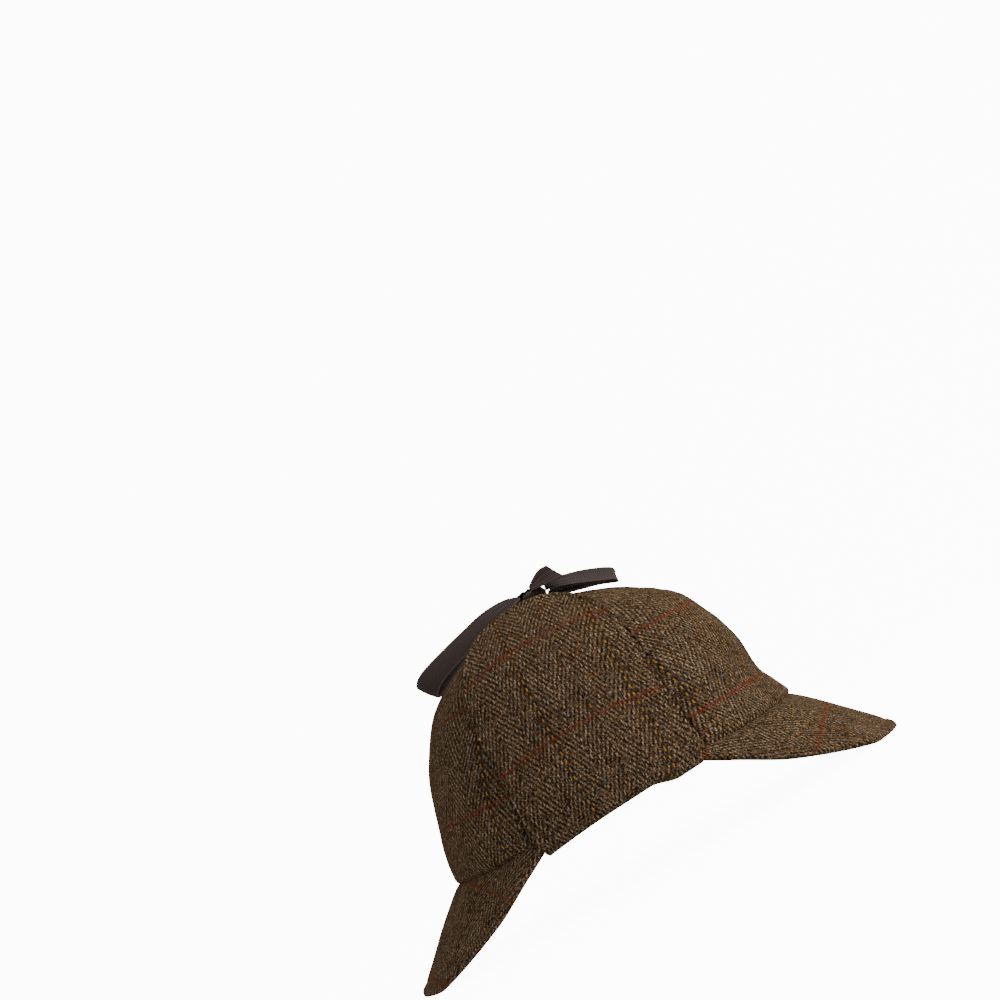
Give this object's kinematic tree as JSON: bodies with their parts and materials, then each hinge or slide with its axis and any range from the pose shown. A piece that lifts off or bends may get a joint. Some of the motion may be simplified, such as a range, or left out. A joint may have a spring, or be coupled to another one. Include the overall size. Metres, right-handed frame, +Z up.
{
  "type": "deerstalker hat",
  "caption": "Deerstalker hat: panelled tweed crown with a peak before and behind, and earflaps folded up and tied on top with a ribbon bow.",
  "frame": {"origin": "on the surface that the hat rests on, under the middle of the crown", "axes": "+X to the front peak, +Y to the wearer's left, +Z up"},
  "size_m": [0.294, 0.1798, 0.1693],
  "materials": {
    "crown_tweed": "brown herringbone tweed with a windowpane check",
    "peak_tweed": "brown herringbone tweed, its warp from front to back",
    "flap_tweed": "brown herringbone tweed with a windowpane check",
    "bow_ribbon": "dark brown grosgrain ribbon"
  },
  "bodies": {
    "root": {"crown_front_left": "crown_tweed", "crown_side_left": "crown_tweed", "crown_rear_left": "crown_tweed", "crown_rear_right": "crown_tweed", "crown_side_right": "crown_tweed", "crown_front_right": "crown_tweed", "peak_front_upper": "peak_tweed", "peak_front_under": "peak_tweed", "peak_rear_upper": "peak_tweed", "peak_rear_under": "peak_tweed", "earflap_right": "flap_tweed", "earflap_left": "flap_tweed", "tie_right": "bow_ribbon", "tie_left": "bow_ribbon", "bow_knot": "bow_ribbon", "bow_loop_rear": "bow_ribbon", "bow_loop_front": "bow_ribbon", "bow_tail_front": "bow_ribbon", "bow_tail_far": "bow_ribbon"}
  },
  "joints": []
}
